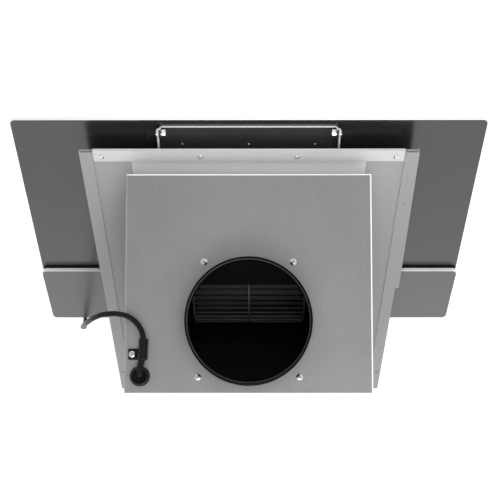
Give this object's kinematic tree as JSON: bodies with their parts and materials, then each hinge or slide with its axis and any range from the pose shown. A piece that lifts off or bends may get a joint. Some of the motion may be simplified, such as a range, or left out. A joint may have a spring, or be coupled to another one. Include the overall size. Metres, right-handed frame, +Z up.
{
  "type": "range hood",
  "caption": "Wall-mounted inclined kitchen hood: steel housing with a round duct collar, blower inside, fixed lower glass and a hinged upper glass front.",
  "frame": {"origin": "midway between the two upper wall screw holes, on the wall plane at the back of the housing", "axes": "+Y into the wall, +Z up, +X along the wall to the left of a person who stands at the wall and looks out"},
  "size_m": [0.595, 0.343, 0.4735],
  "materials": {
    "galvanised_steel": "satin sheet steel with a fine grain",
    "bright_steel": "plated screw steel",
    "aluminium": "brushed aluminium",
    "black_plastic": "black moulded plastic",
    "black_steel": "black powder coat",
    "white_plastic": "white moulded plastic",
    "circuit_board": "green solder mask",
    "smoked_glass": "back-printed tempered glass, opaque",
    "lens": "frosted",
    "motor_iron": "plain",
    "bronze": "sintered",
    "cord_pvc": "matt black cord sheath",
    "magnet_rubber": "matt"
  },
  "bodies": {
    "hood": {"back_panel": "galvanised_steel", "side_panel_left": "galvanised_steel", "side_panel_right": "galvanised_steel", "upper_front_wall": "galvanised_steel", "top_plate": "galvanised_steel", "front_frame": "galvanised_steel", "frame_top_strip": "galvanised_steel", "strip_screws": "bright_steel", "side_rivets": "aluminium", "edge_strip": "galvanised_steel", "filter_surround": "galvanised_steel", "filter_frame": "aluminium", "filter_mesh": "aluminium", "lower_fascia": "galvanised_steel", "lamp_bezels": "bright_steel", "lamp_lenses": "lens", "lamp_bodies": "black_plastic", "hinge_arms": "bright_steel", "hinge_screws": "bright_steel", "hinge_nuts": "bright_steel", "arm_screws": "bright_steel", "panel_magnets": "magnet_rubber", "lower_glass": "smoked_glass", "glass_brackets": "galvanised_steel", "touch_board": "circuit_board", "duct_collar": "black_plastic", "collar_screws": "bright_steel", "scroll_left": "black_plastic", "scroll_right": "black_plastic", "scroll_screws": "bright_steel", "inlet_ring_left": "black_plastic", "inlet_ring_right": "black_plastic", "motor_body": "motor_iron", "motor_bearings": "bronze", "motor_bracket": "galvanised_steel", "capacitor": "white_plastic", "control_box": "white_plastic", "control_lid": "white_plastic", "terminal_block": "white_plastic", "inner_lead": "cord_pvc", "cord_gland": "black_plastic", "cord_clamp": "black_plastic", "clamp_screw": "bright_steel", "power_cord": "cord_pvc", "cord_coil": "cord_pvc", "cord_tail": "cord_pvc", "plug_body": "black_plastic", "plug_pins": "bright_steel"},
    "front_panel": {"upper_glass": "smoked_glass", "hinge_plate": "black_steel", "strike_plates": "galvanised_steel"},
    "fan": {"impeller": "black_plastic", "motor_shaft": "bright_steel"},
    "latch": {"filter_latch": "black_plastic"}
  },
  "joints": [
    {"name": "panel_hinge", "type": "hinge", "parent": "hood", "child": "front_panel", "pos_m": [0, -0.32002, 0.04036], "axis": [-1, 0, 0], "range_deg": [0, 90]},
    {"name": "fan_spin", "type": "hinge", "parent": "hood", "child": "fan", "pos_m": [0, -0.145, -0.045], "axis": [1, 0, 0], "continuous": true},
    {"name": "latch_slide", "type": "slide", "parent": "hood", "child": "latch", "axis": [0, -0.5764, 0.8171], "range_m": [0, 0.0042], "stiffness_N_per_m": 300, "springref_m": -0.001}
  ]
}
